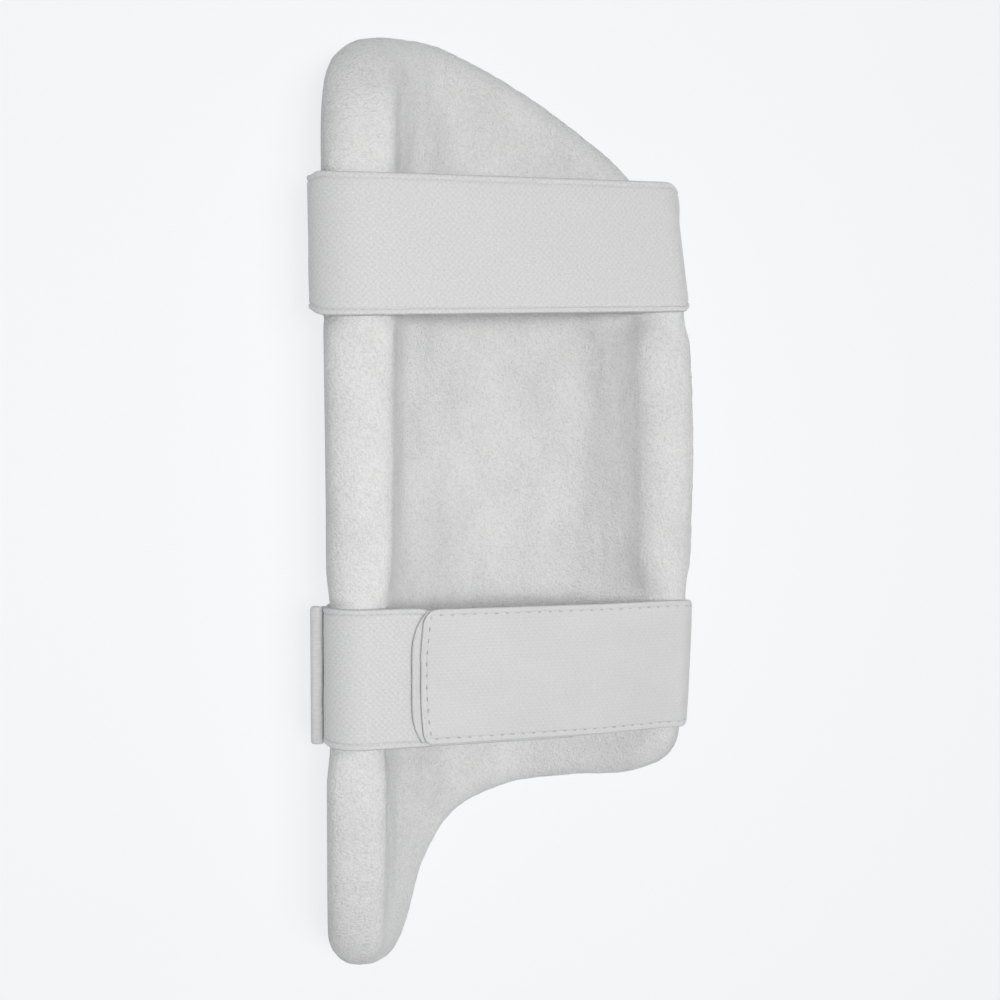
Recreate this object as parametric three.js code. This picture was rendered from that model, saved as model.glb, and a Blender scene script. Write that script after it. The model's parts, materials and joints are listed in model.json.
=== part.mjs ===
// A cricket thigh pad, lying on its curved outer face with the strap side up.
// Millimetres, +Z up, +Y towards the waist end of the pad.
//
// The pad is drawn flat, s across and y along, and then bent round an axis that runs along Y.
// The height n over the middle of the wall is positive towards the leg.

import * as THREE from 'three';

const { degToRad, lerp, smoothstep } = THREE.MathUtils;

// The trough.
const BEND_RADIUS = 76;
const AXIS_HEIGHT = 87;
const HALF_WALL = { waist: 17, middle: 15, knee: 12.4 };
const PAD_END = { waist: 217, knee: -212 };
const PAD_ROWS = 32;
const PAD_COLUMNS = 18;
const STEP_PER_TURN = 20;
const RELAX_PASSES = 6;
const GAP = 0.3;

// The towelling lies on the inner face and turns over the rim as far as the seam, just round the back.
const LINING_THICKNESS = 2.8;
const LINING_GAP = 0.6;
const SEAM_ANGLE = 165;
const SEAM_GAP_ANGLE = 3;
const RIM_STEPS = { lined: 7, covered: 1 };

// The flat pattern, clockwise from the waist corner on the left.
const OUTLINE = [
  { side: 'waist', s: -103, y: 188 },
  { side: 'waist', s: -84, y: 205 },
  { side: 'waist', s: -58, y: 213.5 },
  { side: 'waist', s: -28, y: 217 },
  { side: 'waist', s: 4, y: 207.5 },
  { side: 'waist', s: 35, y: 189.5 },
  { side: 'waist', s: 66, y: 164 },
  { side: 'right', s: 89, y: 137 },
  { side: 'right', s: 103, y: 107 },
  { side: 'right', s: 110, y: 72 },
  { side: 'right', s: 113, y: 36 },
  { side: 'right', s: 112.5, y: -10 },
  { side: 'right', s: 110.5, y: -55 },
  { side: 'right', s: 109, y: -95 },
  { side: 'knee', s: 102, y: -120 },
  { side: 'knee', s: 80, y: -132.5 },
  { side: 'knee', s: 45, y: -138.5 },
  { side: 'knee', s: 10, y: -143.5 },
  { side: 'knee', s: -17, y: -154 },
  { side: 'knee', s: -36, y: -174 },
  { side: 'knee', s: -49, y: -199 },
  { side: 'knee', s: -64, y: -211.5 },
  { side: 'knee', s: -85, y: -209.5 },
  { side: 'left', s: -103, y: -195 },
  { side: 'left', s: -110.5, y: -168 },
  { side: 'left', s: -110.5, y: -60 },
  { side: 'left', s: -110.5, y: 60 },
  { side: 'left', s: -110.5, y: 160 },
];

// Where a tight strap squeezes the foam of a rim.
const EDGE = { left: -110.5, right: 111 };
const SQUEEZE_RAMP = 10;
const SQUEEZE_REACH = { from: 16, to: 48 };
const SQUEEZES = [
  { edge: 'left', low: -107, high: -43, depth: 2.4 },
  { edge: 'right', low: -109, high: -44, depth: 3.6 },
  { edge: 'right', low: 84, high: 130, depth: 3 },
];

// The straps. Their ends are sewn to the outer face, END_ANGLE from the bottom of the trough.
const END_ANGLE = 36;
const ELASTIC_THICKNESS = 2.2;
const TAB_THICKNESS = 1.8;
const PATCH_THICKNESS = 1.2;
const CLEARANCE = { rim: 0.5, wall: 0.9 };
const STRAP_STEPS = { wall: 6, rim: 9, span: 4, across: 3 };

// Each strap end gives the height y of its two borders over the rim, the pattern edge s that they
// turn over, how far the strap bulges from the rim, and how much it climbs on its way down the wall.
const UPPER = {
  left: { low: 79.5, high: 138.5, edge: { low: -110.8, high: -112.6 }, bulge: 2.6, climb: 0.16 },
  right: { low: 88.5, high: 149.5, edge: { low: 107.2, high: 98 }, bulge: 0, climb: 0.06 },
};
const LOWER = {
  left: { low: -105, high: -44.5, edge: { low: -111.6, high: -110.7 }, bulge: 0, climb: 0 },
  right: { low: -106.5, high: -46, edge: { low: 109.2, high: 111.6 }, bulge: 0, climb: 0 },
};
const ELASTIC_END_X = 22;
const TAB = { endX: -51, cornerRadius: 4.5, narrower: { low: 1.6, high: 0.3 } };
const PATCH = { inset: 0.8, bow: 3.8, length: 44 };

const ANCHOR = { topAngle: 71.5, bottomAngle: 44, thickness: 6.6, y: -76, width: 61 };

const COLOURS = {
  towelling: 0xe9eaec,
  cover: 0xe2e3e6,
  elastic: 0xececee,
  tab: 0xe6e7ea,
  hook: 0xd5d6da,
};

const clamp01 = (value) => Math.min(Math.max(value, 0), 1);

function squeezeAt(s, y) {
  let depth = 0;
  for (const squeeze of SQUEEZES) {
    const along = smoothstep(y, squeeze.low - SQUEEZE_RAMP, squeeze.low)
      * (1 - smoothstep(y, squeeze.high, squeeze.high + SQUEEZE_RAMP));
    const inward = Math.abs(EDGE[squeeze.edge] - s);
    depth += squeeze.depth * along * (1 - smoothstep(inward, SQUEEZE_REACH.from, SQUEEZE_REACH.to));
  }
  return depth;
}

function fullWall(y) {
  const end = y > 0 ? 'waist' : 'knee';
  return lerp(HALF_WALL.middle, HALF_WALL[end], clamp01(y / PAD_END[end]));
}

const halfWall = (s, y) => fullWall(y) - squeezeAt(s, y);

// Radius of the middle of the wall. Towards the knee the wall thins from the inside.
const middleRadius = (y) => BEND_RADIUS + Math.max(HALF_WALL.middle - fullWall(y), 0);

// Bends a point of the flat pattern. The outer face is pressed flat where the pad lies.
function bend(s, y, n) {
  const angle = s / BEND_RADIUS;
  const radius = middleRadius(y);
  const wall = fullWall(y);
  const below = (radius + wall) * Math.cos(angle) - AXIS_HEIGHT;
  const flattened = below > 1 ? below : Math.max(below + 1, 0) ** 2 / 4;
  const pressed = flattened * clamp01((wall - n) / (2 * wall));
  return new THREE.Vector3(
    (radius - n) * Math.sin(angle), y, AXIS_HEIGHT - (radius - n) * Math.cos(angle) + pressed);
}

const outlineCurve = new THREE.CatmullRomCurve3(
  OUTLINE.map((row) => new THREE.Vector3(row.s, row.y, 0)), true, 'centripetal');

// Steps along one side of the outline, closer together where it turns, and moved on to the heights
// where a squeeze begins or ends.
function sampleSide(side, steps) {
  const first = OUTLINE.findIndex((row) => row.side === side);
  const count = OUTLINE.filter((row) => row.side === side).length;
  const dense = 40 * count;
  const table = [];
  let length = 0;
  for (let k = 0; k <= dense; k += 1) {
    const t = ((first + (count * k) / dense) / OUTLINE.length) % 1;
    const point = outlineCurve.getPoint(t);
    const tangent = outlineCurve.getTangent(t);
    if (k > 0) {
      const before = table[k - 1];
      length += point.distanceTo(before.point) + STEP_PER_TURN * tangent.angleTo(before.tangent);
    }
    table.push({ t, point, tangent, length });
  }
  const picked = [];
  for (let k = 0; k < steps; k += 1) {
    picked.push(table.find((row) => row.length >= (length * k) / steps - 1e-9));
  }
  for (const squeeze of SQUEEZES.filter((row) => row.edge === side)) {
    for (const height of [squeeze.low, squeeze.high]) {
      const nearest = (rows) => rows.reduce((best, row) =>
        (Math.abs(row.point.y - height) < Math.abs(best.point.y - height) ? row : best));
      const moved = picked.indexOf(nearest(picked));
      picked[moved] = nearest(table);
    }
  }
  return picked;
}

// The rim: points of the outline, with the way inwards, the point where the rounding starts and the
// half wall there, full and squeezed.
function sampleRim() {
  const picked = [
    ...sampleSide('waist', PAD_COLUMNS),
    ...sampleSide('right', PAD_ROWS),
    ...sampleSide('knee', PAD_COLUMNS),
    ...sampleSide('left', PAD_ROWS),
  ];
  return picked.map(({ t, point }) => {
    const tangent = outlineCurve.getTangent(t);
    const full = fullWall(point.y);
    const inner = new THREE.Vector2(point.x + tangent.y * full, point.y - tangent.x * full);
    return {
      s: point.x,
      y: point.y,
      inS: tangent.y,
      inY: -tangent.x,
      inner,
      full,
      half: halfWall(inner.x, inner.y),
    };
  });
}

const RIM = sampleRim();

// One ring round the bullnose rim: 0 degrees is on the inner face, 180 on the outer face.
function rimRing(degrees, inset) {
  const angle = degToRad(degrees);
  return RIM.map((edge) => {
    const inward = edge.full - (edge.full - inset) * Math.sin(angle);
    const n = (edge.half - inset) * Math.cos(angle);
    return bend(edge.s + edge.inS * inward, edge.y + edge.inY * inward, n);
  });
}

// The flat pattern inside the rim as rows of points, evened out between its four sides.
function flatGrid() {
  const loop = RIM.map((edge) => edge.inner);
  const waist = (i) => loop[i];
  const right = (j) => loop[PAD_COLUMNS + j];
  const knee = (i) => loop[2 * PAD_COLUMNS + PAD_ROWS - i];
  const left = (j) => loop[(2 * PAD_COLUMNS + 2 * PAD_ROWS - j) % loop.length];
  const rows = [];
  for (let j = 0; j <= PAD_ROWS; j += 1) {
    const v = j / PAD_ROWS;
    const row = [];
    for (let i = 0; i <= PAD_COLUMNS; i += 1) {
      const u = i / PAD_COLUMNS;
      row.push(new THREE.Vector2()
        .addScaledVector(waist(i), 1 - v)
        .addScaledVector(knee(i), v)
        .addScaledVector(left(j), 1 - u)
        .addScaledVector(right(j), u)
        .addScaledVector(waist(0), -(1 - u) * (1 - v))
        .addScaledVector(waist(PAD_COLUMNS), -u * (1 - v))
        .addScaledVector(knee(0), -(1 - u) * v)
        .addScaledVector(knee(PAD_COLUMNS), -u * v));
    }
    rows.push(row);
  }
  for (let pass = 0; pass < RELAX_PASSES; pass += 1) {
    for (let j = 1; j < PAD_ROWS; j += 1) {
      for (let i = 1; i < PAD_COLUMNS; i += 1) {
        rows[j][i].set(0, 0)
          .add(rows[j - 1][i])
          .add(rows[j + 1][i])
          .add(rows[j][i - 1])
          .add(rows[j][i + 1])
          .multiplyScalar(1 / 4);
      }
    }
  }
  return rows;
}

const FLAT = flatGrid();

// A face of the pad inside the rim: side 1 is the inner face, -1 the outer.
const padFace = (side, inset) => FLAT.map((row) => row.map(({ x, y }) =>
  bend(x, y, side * (halfWall(x, y) - inset))));

// A closed solid from a front face, rings round its edge and a back face. Both faces are rows of points.
function skinSolid(front, rings, back) {
  const lastRow = front.length - 1;
  const lastColumn = front[0].length - 1;
  const points = [];
  const triangles = [];
  const add = (list) => list.map((point) => points.push(point) - 1);
  const frontIds = front.map(add);
  const ringIds = rings.map(add);
  const backIds = back.map(add);

  const border = (ids) => {
    const loop = [];
    for (let i = 0; i < lastColumn; i += 1) loop.push(ids[0][i]);
    for (let j = 0; j < lastRow; j += 1) loop.push(ids[j][lastColumn]);
    for (let i = lastColumn; i > 0; i -= 1) loop.push(ids[lastRow][i]);
    for (let j = lastRow; j > 0; j -= 1) loop.push(ids[j][0]);
    return loop;
  };
  const quad = (a, b, c, d) => triangles.push(a, b, c, a, c, d);
  const corners = (ids, i, j) => [ids[j][i], ids[j + 1][i], ids[j + 1][i + 1], ids[j][i + 1]];

  for (let j = 0; j < lastRow; j += 1) {
    for (let i = 0; i < lastColumn; i += 1) {
      const frontQuad = corners(frontIds, i, j);
      const backQuad = corners(backIds, i, j);
      // At two of the corners the face is cut along the other diagonal, away from the edge.
      if ((j === 0 && i === lastColumn - 1) || (j === lastRow - 1 && i === 0)) {
        frontQuad.push(frontQuad.shift());
        backQuad.push(backQuad.shift());
      }
      quad(...frontQuad);
      triangles.push(backQuad[0], backQuad[2], backQuad[1], backQuad[0], backQuad[3], backQuad[2]);
    }
  }
  const loops = [border(frontIds), ...ringIds, border(backIds)];
  for (let k = 0; k + 1 < loops.length; k += 1) {
    const above = loops[k];
    const below = loops[k + 1];
    for (let i = 0; i < above.length; i += 1) {
      const next = (i + 1) % above.length;
      quad(above[i], above[next], below[next], below[i]);
    }
  }
  return solidGeometry(points, triangles);
}

// Faces outwards, whichever way round the rows were given.
function solidGeometry(points, triangles) {
  let volume = 0;
  for (let k = 0; k < triangles.length; k += 3) {
    const [a, b, c] = [0, 1, 2].map((m) => points[triangles[k + m]]);
    volume += a.dot(b.clone().cross(c));
  }
  const faces = volume > 0 ? triangles : triangles.toReversed();
  const geometry = new THREE.BufferGeometry();
  geometry.setAttribute('position', new THREE.Float32BufferAttribute(points.flatMap((p) => p.toArray()), 3));
  geometry.setIndex(faces);
  geometry.computeVertexNormals();
  return geometry;
}

function ringsBetween(from, to, steps, inset) {
  const rings = [];
  for (let k = 0; k <= steps; k += 1) rings.push(rimRing(lerp(from, to, k / steps), inset));
  return rings;
}

function padShell() {
  const lined = LINING_THICKNESS + LINING_GAP;
  const step = SEAM_ANGLE + SEAM_GAP_ANGLE;
  const rings = [
    ...ringsBetween(0, SEAM_ANGLE, RIM_STEPS.lined, lined).slice(1),
    rimRing(step, lined),
    ...ringsBetween(step, 180, RIM_STEPS.covered, 0).slice(0, -1),
  ];
  return skinSolid(padFace(1, lined), rings, padFace(-1, 0));
}

function towellingLining() {
  const outside = ringsBetween(0, SEAM_ANGLE, RIM_STEPS.lined, 0).slice(1);
  const inside = ringsBetween(SEAM_ANGLE, 0, RIM_STEPS.lined, LINING_THICKNESS).slice(0, -1);
  return skinSolid(padFace(1, 0), [...outside, ...inside], padFace(1, LINING_THICKNESS));
}

// In a cross-section of the pad, x across and z up.
const AXIS = new THREE.Vector2(0, AXIS_HEIGHT);
const polar = (centre, angle, radius) =>
  new THREE.Vector2(centre.x + radius * Math.cos(angle), centre.y + radius * Math.sin(angle));

// Where a strap turns over one rim: the centre it turns round, in the cross-section at height y.
function rimTurn(strap, side, w) {
  const end = strap[side];
  const y = lerp(end.low, end.high, w + 0.5);
  const edge = lerp(end.edge.low, end.edge.high, w + 0.5);
  const s = edge - Math.sign(edge) * fullWall(y);
  const angle = s / BEND_RADIUS;
  return {
    y,
    s,
    bulge: end.bulge,
    climb: end.climb,
    centre: polar(AXIS, angle - Math.PI / 2, middleRadius(y)),
    outwards: angle - Math.PI / 2 + (s < 0 ? 2 * Math.PI : 0),
    half: halfWall(EDGE[side], y),
    full: fullWall(y),
  };
}

// Distance from the centre of a turn to the strap, over the oval that the squeezed rim makes.
function turnRadius(turn, angle) {
  const fromOutwards = angle - turn.outwards;
  return CLEARANCE.rim
    + 1 / Math.hypot(Math.cos(fromOutwards) / turn.half, Math.sin(fromOutwards) / turn.full);
}

// The line of a strap over one rim, from its sewn end on the outer face to the top of the rim.
// w runs from -0.5 to 0.5 across the width, lift is the height over the pad.
function rimLine(turn, topAngle, lift) {
  const line = [];
  const sign = Math.sign(turn.s);
  const endAngle = sign * degToRad(END_ANGLE);
  const rimAngle = turn.s / BEND_RADIUS;
  for (let k = 0; k < STRAP_STEPS.wall; k += 1) {
    const angle = lerp(endAngle, rimAngle, k / STRAP_STEPS.wall);
    const near = smoothstep(k / STRAP_STEPS.wall, 0.2, 1);
    const clearance = lerp(CLEARANCE.wall, CLEARANCE.rim + turn.bulge, near);
    const wall = halfWall(angle * BEND_RADIUS, turn.y);
    line.push(polar(AXIS, angle - Math.PI / 2, middleRadius(turn.y) + wall + clearance + lift));
  }
  for (let k = 0; k <= STRAP_STEPS.rim; k += 1) {
    const part = k / STRAP_STEPS.rim;
    const bulge = turn.bulge * (1 - smoothstep(part, 0.2, 1));
    const angle = lerp(turn.outwards, topAngle, part);
    line.push(polar(turn.centre, angle, turnRadius(turn, angle) + bulge + lift));
  }
  return line;
}

// Direction of the common upper tangent of the two turns of a strap.
function tangentAngle(left, right) {
  const across = right.centre.clone().sub(left.centre);
  const slope = Math.atan2(across.y, across.x);
  const up = slope + Math.PI / 2;
  return slope + Math.acos((turnRadius(left, up) - turnRadius(right, up)) / across.length());
}

// The whole line of a strap, left outer face to right outer face, with the height y at each point.
function strapLine(strap, w, lift) {
  const left = rimTurn(strap, 'left', w);
  const right = rimTurn(strap, 'right', w);
  const top = tangentAngle(left, right);
  const leftLine = rimLine(left, top, lift);
  const rightLine = rimLine(right, top, lift).reverse();
  const span = [];
  for (let k = 1; k < STRAP_STEPS.span; k += 1) {
    span.push(leftLine.at(-1).clone().lerp(rightLine[0], k / STRAP_STEPS.span));
  }
  const slope = (right.y - left.y) / (right.centre.x - left.centre.x);
  return [...leftLine, ...span, ...rightLine].map((point) => {
    const turn = point.x < 0 ? left : right;
    const down = Math.max(turn.centre.y + turn.full - point.y, 0);
    return new THREE.Vector3(
      point.x, left.y + slope * (point.x - left.centre.x) + turn.climb * down, point.y);
  });
}

const acrossParts = () => {
  const parts = [];
  for (let k = 0; k <= STRAP_STEPS.across; k += 1) parts.push(k / STRAP_STEPS.across - 0.5);
  return parts;
};

// A band of even thickness between two sets of lines, one line for each part of the width.
function bandSolid(lineAt, thickness) {
  const lower = acrossParts().map((w) => lineAt(w, 0));
  const upper = acrossParts().map((w) => lineAt(w, thickness));
  return skinSolid(upper, [], lower);
}

const upperStrap = () => bandSolid((w, lift) => strapLine(UPPER, w, lift), ELASTIC_THICKNESS);

// The part of a strap line to the left or right of x, cut off square there.
function cutLine(line, x, keep) {
  const spanAt = line.findIndex((point, k) => k > STRAP_STEPS.wall && point.x > x);
  const before = line[spanAt - 1];
  const after = line[spanAt];
  const cut = before.clone().lerp(after, (x - before.x) / (after.x - before.x));
  return keep === 'left' ? [...line.slice(0, spanAt), cut] : [cut, ...line.slice(spanAt)];
}

const lowerStrap = () => bandSolid(
  (w, lift) => cutLine(strapLine(LOWER, w, lift), ELASTIC_END_X, 'left'), ELASTIC_THICKNESS);

// The tab lies on the elastic and the patch, then comes down to the right rim.
const TAB_LIFT = ELASTIC_THICKNESS + PATCH_THICKNESS + 2 * GAP;

// A strap with both borders brought in.
function narrowed(strap, by) {
  const end = (side) => ({ ...strap[side], low: strap[side].low + by.low, high: strap[side].high - by.high });
  return { left: end('left'), right: end('right') };
}

const TAB_STRAP = narrowed(LOWER, TAB.narrower);
const PATCH_STRAP = narrowed(TAB_STRAP, { low: PATCH.inset, high: PATCH.inset });

function tabLine(w, lift) {
  const line = strapLine(TAB_STRAP, w, lift);
  const firstRight = line.length - STRAP_STEPS.wall - STRAP_STEPS.rim - 1;
  const rimX = line[firstRight].x;
  const stations = [0, 0.02, 0.05, 0.09, 0.3, 0.5, 0.6, 0.7, 0.8, 0.9];
  const start = cutLine(line, TAB.endX, 'right')[0];
  const straight = stations.map((part) => {
    const point = start.clone().lerp(line[firstRight], part);
    const settle = smoothstep(point.x, ELASTIC_END_X + 3, rimX);
    point.z += TAB_LIFT * (1 - settle);
    const fromEnd = Math.min(point.x - TAB.endX, TAB.cornerRadius);
    const corner = TAB.cornerRadius - Math.sqrt(fromEnd * (2 * TAB.cornerRadius - fromEnd));
    point.y -= 2 * w * corner;
    return point;
  });
  return [...straight, ...line.slice(firstRight)];
}

const fasteningTab = () => bandSolid(tabLine, TAB_THICKNESS);

// The hook patch shows as a bowed edge past the end of the tab.
function patchLine(w, lift) {
  const base = strapLine(PATCH_STRAP, w, ELASTIC_THICKNESS + GAP + lift);
  const bow = PATCH.bow * (1 - (2 * w) ** 2);
  const startX = TAB.endX + PATCH.inset - bow;
  const endX = TAB.endX + PATCH.length;
  return [0, 0.25, 0.5, 0.75, 1].map((part) => cutLine(base, lerp(startX, endX, part), 'right')[0]);
}

function hookPatch() {
  const parts = [-0.5, -0.35, -0.2, 0, 0.2, 0.35, 0.5];
  const faces = [PATCH_THICKNESS, 0].map((lift) => parts.map((w) => patchLine(w, lift)));
  return skinSolid(faces[0], [], faces[1]);
}

// The folded end of webbing on the left outer face, over the sewn end of the elastic.
function anchorLine(w, lift) {
  const y = ANCHOR.y + w * ANCHOR.width;
  const middle = ANCHOR.thickness / 2;
  return [0, 0.25, 0.5, 0.7, 0.84, 0.92, 0.97, 1].map((part) => {
    const angle = -degToRad(lerp(ANCHOR.bottomAngle, ANCHOR.topAngle, part));
    const nose = clamp01((part - 0.84) / 0.16);
    const round = middle * lerp(1, 0.12, 1 - Math.sqrt(1 - nose * nose));
    const side = lift > 0 ? round : -round;
    const wall = halfWall(angle * BEND_RADIUS, y) + CLEARANCE.wall + ELASTIC_THICKNESS + GAP;
    const point = polar(AXIS, angle - Math.PI / 2, middleRadius(y) + wall + middle + side);
    return new THREE.Vector3(point.x, y, point.y);
  });
}

const strapAnchor = () => bandSolid(anchorLine, ANCHOR.thickness);

const PIECES = [
  { name: 'pad_shell', make: padShell, colour: COLOURS.cover, roughness: 0.8 },
  { name: 'towelling_lining', make: towellingLining, colour: COLOURS.towelling, roughness: 0.95 },
  { name: 'upper_strap', make: upperStrap, colour: COLOURS.elastic, roughness: 0.85 },
  { name: 'lower_strap', make: lowerStrap, colour: COLOURS.elastic, roughness: 0.85 },
  { name: 'fastening_tab', make: fasteningTab, colour: COLOURS.tab, roughness: 0.7 },
  { name: 'hook_patch', make: hookPatch, colour: COLOURS.hook, roughness: 0.75 },
  { name: 'strap_anchor', make: strapAnchor, colour: COLOURS.tab, roughness: 0.8 },
];

const pad = new THREE.Group();
pad.name = 'cricket_thigh_pad';
for (const piece of PIECES) {
  const material = new THREE.MeshStandardMaterial({ color: piece.colour, roughness: piece.roughness });
  const mesh = new THREE.Mesh(piece.make(), material);
  mesh.name = piece.name;
  pad.add(mesh);
}

// The origin is under the middle of the whole pad.
const box = new THREE.Box3().setFromObject(pad);
const middle = box.getCenter(new THREE.Vector3());
for (const mesh of pad.children) mesh.geometry.translate(-middle.x, -middle.y, -box.min.z);

export default pad;
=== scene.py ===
"""The looks of a cricket thigh pad, lying on its curved outer face with the strap side up.

Lengths are millimetres until a piece becomes a mesh. The pad is drawn flat, s across and y along, and
bent round an axis along Y. The height n over the middle of the wall is positive towards the leg.
"""

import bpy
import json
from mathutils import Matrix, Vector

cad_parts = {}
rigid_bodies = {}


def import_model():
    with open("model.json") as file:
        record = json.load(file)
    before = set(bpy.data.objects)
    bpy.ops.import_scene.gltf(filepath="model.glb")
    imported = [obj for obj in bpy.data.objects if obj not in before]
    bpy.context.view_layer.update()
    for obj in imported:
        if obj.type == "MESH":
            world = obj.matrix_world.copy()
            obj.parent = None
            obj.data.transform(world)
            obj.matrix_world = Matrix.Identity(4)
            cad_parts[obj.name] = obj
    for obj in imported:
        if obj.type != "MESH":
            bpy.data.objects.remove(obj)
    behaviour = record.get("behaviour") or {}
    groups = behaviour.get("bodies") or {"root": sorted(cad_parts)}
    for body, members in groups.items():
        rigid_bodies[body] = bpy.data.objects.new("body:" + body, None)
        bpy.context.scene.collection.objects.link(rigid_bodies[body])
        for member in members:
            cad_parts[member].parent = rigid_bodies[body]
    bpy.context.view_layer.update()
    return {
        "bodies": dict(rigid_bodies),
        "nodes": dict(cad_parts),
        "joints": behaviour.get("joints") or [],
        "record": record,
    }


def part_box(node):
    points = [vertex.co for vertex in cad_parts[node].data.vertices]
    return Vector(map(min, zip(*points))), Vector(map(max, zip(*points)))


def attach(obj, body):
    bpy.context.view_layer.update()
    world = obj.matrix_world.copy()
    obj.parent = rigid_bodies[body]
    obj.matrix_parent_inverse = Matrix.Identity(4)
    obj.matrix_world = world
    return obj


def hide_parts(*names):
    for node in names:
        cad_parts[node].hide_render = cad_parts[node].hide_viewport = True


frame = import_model()

import copy
import json
import math

import bpy
import numpy as np
from mathutils import Matrix, Vector

MM = 0.001
NOISE_CELLS = 256

# The trough
BEND_RADIUS = 76.0
AXIS_HEIGHT = 87.0
AXIS = (0.0, AXIS_HEIGHT)
HALF_WALL = {"waist": 17.0, "middle": 15.0, "knee": 12.4}
PAD_END = {"waist": 217.0, "knee": -212.0}
REST_BLEND = 1.0
LOWEST = 0.02

# The flat pattern by its sides, clockwise from the waist corner on the left: s, y
OUTLINE = {
    "waist": [(-101, 186.2), (-84, 205), (-58, 213.5), (-28, 217), (4.5, 208), (36, 191.5), (67, 165)],
    "right": [(89, 137), (103, 107), (109.6, 72), (112, 36), (111.4, -10), (109.6, -55), (108, -95)],
    "knee": [
        (100.2, -120.6), (80.5, -133.2), (45, -139.6), (10, -145), (-17, -155.4), (-36, -175.2),
        (-49, -199), (-64, -211.5), (-85, -209.5),
    ],
    "left": [(-105.4, -196.2), (-112, -168), (-111, -60), (-110.6, 60), (-111.2, 160)],
}
OUTLINE_SAMPLES = 4000
TURN_WEIGHT = 20

# Where a tight strap squeezes the foam of a rim: edge, low y, high y, depth, length of the ramps
EDGE = {"left": -110.5, "right": 111.0}
SQUEEZE_REACH = (16.0, 48.0)
SQUEEZES = [
    ("left", -107, -43, 1.3, 16),
    ("right", -109, -44, 3.6, 20),
    ("right", 84, 130, 3.0, 12),
]

# The left rim is a soft square in section, and every rim is round where a strap pulls it in:
# edge, low y, high y
RIM_POWER = {"left": 3.5, "right": 2.2, "end": 2.4, "strap": 2.0}
ROUNDED_BY_STRAPS = [
    ("left", -104, -45),
    ("left", 81, 137),
    ("right", -106, -47),
    ("right", 90, 148),
]
ROUNDED_RAMP = 8.0
SIDE_TURN = (0.55, 0.97)
PROFILE_STEPS = 721
PROFILE_POWERS = 18

# The towelling: its grid of columns and rows, its rings to the seam, and its hem in degrees and inset
LINING_THICKNESS = 2.8
LINING_GRID = (156, 304)
LINING_RINGS = 26
LINING_HEM = ((0.8, 0.5), (1.0, 1.3))
SEAM_ANGLE = 165.0
SETTLE_ANGLE = 30
FAR_FROM_SEAM = 60.0
HIDDEN_STEP = 4
HIDDEN_RINGS = 8
COARSE_STEP = 4
COARSE_PASSES = 900
FINE_PASSES = 60

# Relief of the towelling: cell across, cell along, seed, height. The tufts come first, and they drift.
TERRY_DRIFT = (8, 9, 11, 2.0)
TERRY = ((3.0, 2.9, 12, 0.2), (15, 24, 13, 0.2), (46, 60, 14, 0.4))
TERRY_UNDER_STRAP = 0.2

# The cover: its tuck under the lining and its rings past the seam in degrees and inset, and its waves and
# puckers as rows like those of the towelling
COVER_STEP = 2
COVER_GAP = 0.6
COVER_INNER_RINGS = 12
COVER_INNER_ANGLE = 163
COVER_TUCK = (1.2, 2.4)
COVER_RINGS = ((1.8, 1.2), (2.6, 0.45), (3.6, 0.1), (5, 0), (6.5, 0), (8, 0), (9.5, 0), (11, 0), (13, 0))
COVER_WAVES = (34, 48, 42, 0.3)
PUCKER = (4.6, 1, 41, 0.45)
PUCKER_REACH = (1, 13.0)
SEAM_STITCH = 7.0
SEAM_SINK = 0.25

# The cloth simulation that swells the padding: how many lining points to one of its own, degrees round
# the rim to a ring, and the start and limit of the swelling in millimetres
SWELL_STEP = 4
SWELL_TURN = 15
SWELL_FRAMES = 20
SWELL_PRESSURE = 4.0
SWELL_START = 0.5
SWELL_LIMIT = 2.2
REST_STRIP = (24.0, 38.0)
STRAP_REACH = {"inside": (60, 80), "outside": (34, 44)}
STRAP_RAMP = 4.0

# All straps
END_ANGLE = 36.0
GAP = 0.3
RIM_CLEARANCE = 0.5
WALL_CLEARANCE = 0.45
BULGE_REACH = (0.2, 1)
PINCH_REACH = {"left": (7.0, 19.0), "right": (1.0, 8.0)}
STRAP_STEPS = {"wall": 26, "rim": 40, "span": 64}
SPAN_START = STRAP_STEPS["wall"] + STRAP_STEPS["rim"]
MIDDLE_PARTS = 30
BLUNT_EDGE = 0.86

# Where each strap turns over a rim: the height y of both borders, the pattern edge under each border, how
# far the strap bulges from the rim, and how much each border climbs and narrows on its way down the wall
STRAP_COLUMNS = ("low", "high", "edge", "bulge", "climb", "pinch")
UPPER_ENDS = {
    "left": (80.3, 140.2, (-111.6, -112.6), 3.6, (0.16, 0.26), (1.8, 2.8)),
    "right": (87.9, 149.3, (107.2, 98.0), 0.0, (0.06, 0.06), (2.2, 2.4)),
}
LOWER_ENDS = {
    "left": (-105.0, -44.5, (-111.6, -110.7), 0.0, (0.0, 0.0), (0.6, 0.6)),
    "right": (-108.2, -46.0, (107.6, 111.2), 0.0, (0.0, 0.0), (3.2, 2.4)),
}
UPPER, LOWER = (
    {side: dict(zip(STRAP_COLUMNS, row)) for side, row in ends.items()} for ends in (UPPER_ENDS, LOWER_ENDS)
)

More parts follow.
